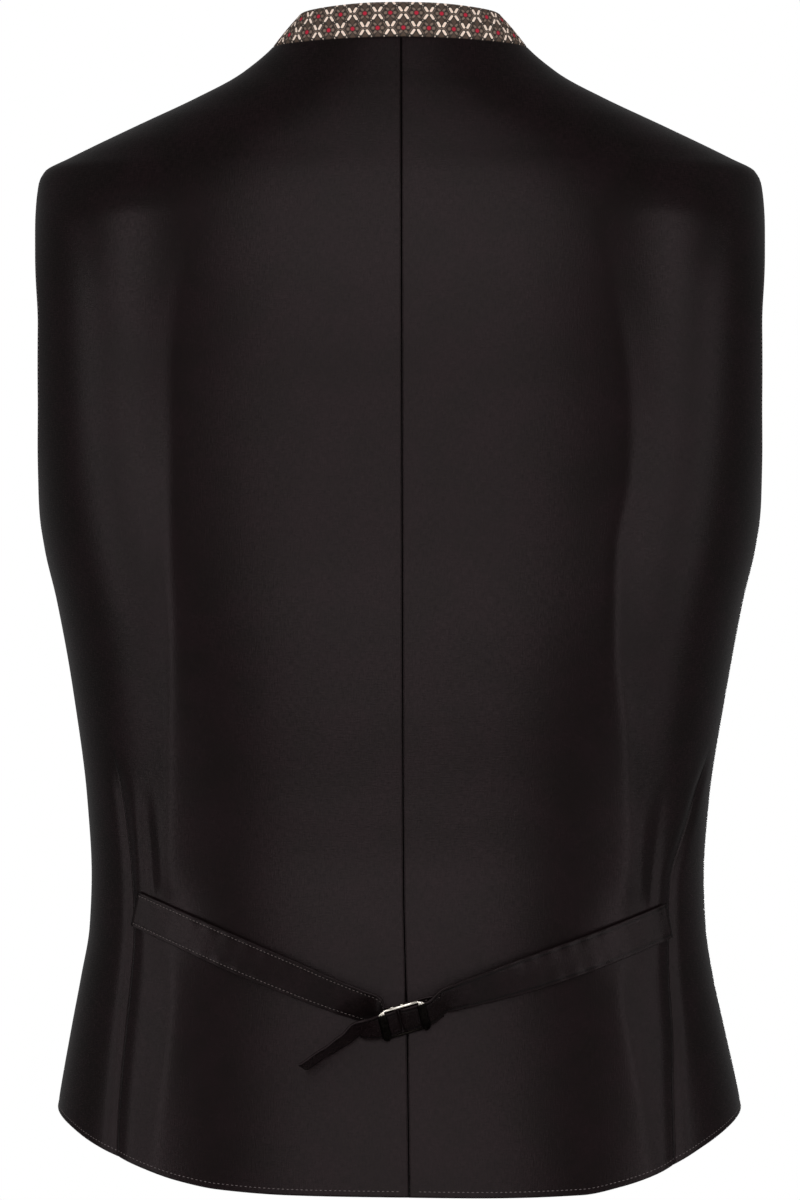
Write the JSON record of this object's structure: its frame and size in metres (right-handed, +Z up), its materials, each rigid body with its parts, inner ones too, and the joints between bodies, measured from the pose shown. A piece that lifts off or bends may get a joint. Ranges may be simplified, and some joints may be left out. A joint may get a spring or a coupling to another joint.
{
  "type": "trachten vest",
  "caption": "Sleeveless folk vest in worn form: black satin back with waist darts and a buckled cinch strap, patterned fronts and low stand collar, buttoned front.",
  "frame": {"origin": "between the shoulder seams at their mid height, where the wearer's shoulders carry the vest", "axes": "+Z up along the body, +Y the wearer's front, so the back faces -Y, +X the wearer's right"},
  "size_m": [0.3778, 0.2634, 0.6073],
  "materials": {
    "satin": "black satin weave, soft sheen",
    "patterned_cloth": "woven floral lattice, matte",
    "dark_metal": "dark, worn bright on its rail",
    "antique_silver": "antique silver"
  },
  "bodies": {
    "root": {"back_left": "satin", "back_right": "satin", "front_left": "patterned_cloth", "front_right": "patterned_cloth", "collar": "patterned_cloth", "strap_left": "satin", "strap_right": "satin", "buckle": "dark_metal", "button_1": "antique_silver", "button_2": "antique_silver", "button_3": "antique_silver", "button_4": "antique_silver", "button_5": "antique_silver", "button_6": "antique_silver", "button_7": "antique_silver"}
  },
  "joints": []
}
